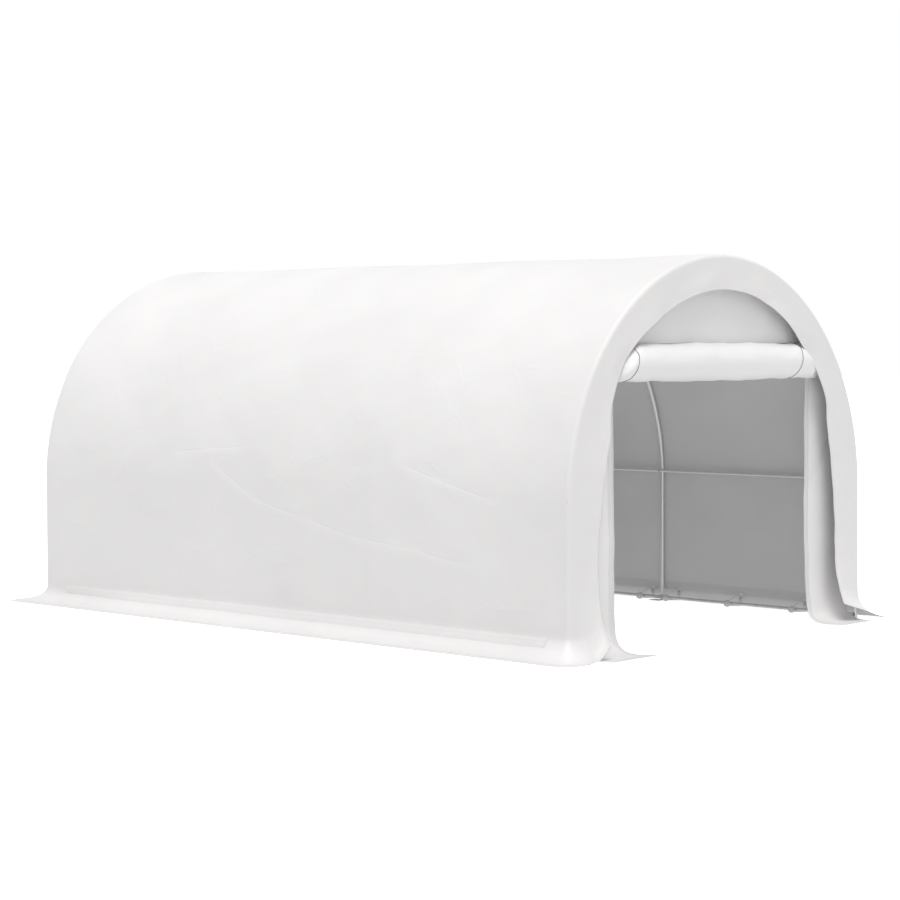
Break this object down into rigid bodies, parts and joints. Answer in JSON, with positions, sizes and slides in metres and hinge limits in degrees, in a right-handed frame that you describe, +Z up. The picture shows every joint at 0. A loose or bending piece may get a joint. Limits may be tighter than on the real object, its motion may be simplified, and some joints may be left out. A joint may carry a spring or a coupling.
{
  "type": "carport tent",
  "caption": "Round-topped carport tent: a steel tube hoop frame under a white cloth cover with ground skirts, turned-in end bands and a rolled-up front door.",
  "frame": {"origin": "on the ground in the middle of the footprint", "axes": "+X across the tent, to the right when looking in through the open front; +Y along the tent, from the open front to the back wall; +Z up"},
  "size_m": [3.32, 5.28, 2.3898],
  "materials": {
    "cover_cloth": "coated woven sheet, satin, translucent",
    "end_wall_cloth": "coated woven sheet, satin",
    "hoop_tube": "pale grey powder coat, satin",
    "rail_tube": "pale grey powder coat, satin",
    "foot_plate": "zinc plated",
    "bungee": "pale grey moulded ball on a pale elastic loop",
    "hardware": "zinc-plated bolts, nuts and eyelets",
    "zip": "pale coil zip on woven tape",
    "tie_cord": "dark grey cord"
  },
  "bodies": {
    "root": {"back_band": "cover_cloth", "back_flap": "end_wall_cloth", "back_wall": "end_wall_cloth", "bungees_left": "bungee", "bungees_right": "bungee", "cover_crown": "cover_cloth", "cover_haunch_left": "cover_cloth", "cover_haunch_right": "cover_cloth", "cover_wall_left": "cover_cloth", "cover_wall_right": "cover_cloth", "door_roll": "end_wall_cloth", "door_ties": "tie_cord", "foot_plates_left": "foot_plate", "foot_plates_right": "foot_plate", "front_band": "cover_cloth", "front_flap_left": "end_wall_cloth", "front_flap_right": "end_wall_cloth", "front_gable": "end_wall_cloth", "front_wall_left": "end_wall_cloth", "front_wall_right": "end_wall_cloth", "ground_rail_left": "rail_tube", "ground_rail_right": "rail_tube", "hoop_1_crown": "hoop_tube", "hoop_1_haunch_left": "hoop_tube", "hoop_1_haunch_right": "hoop_tube", "hoop_2_crown": "hoop_tube", "hoop_2_haunch_left": "hoop_tube", "hoop_2_haunch_right": "hoop_tube", "hoop_3_crown": "hoop_tube", "hoop_3_haunch_left": "hoop_tube", "hoop_3_haunch_right": "hoop_tube", "hoop_4_crown": "hoop_tube", "hoop_4_haunch_left": "hoop_tube", "hoop_4_haunch_right": "hoop_tube", "legs_left": "hoop_tube", "legs_right": "hoop_tube", "ridge_rail": "rail_tube", "side_rail_left": "rail_tube", "side_rail_right": "rail_tube", "skirt_left": "cover_cloth", "skirt_right": "cover_cloth"}
  },
  "joints": []
}
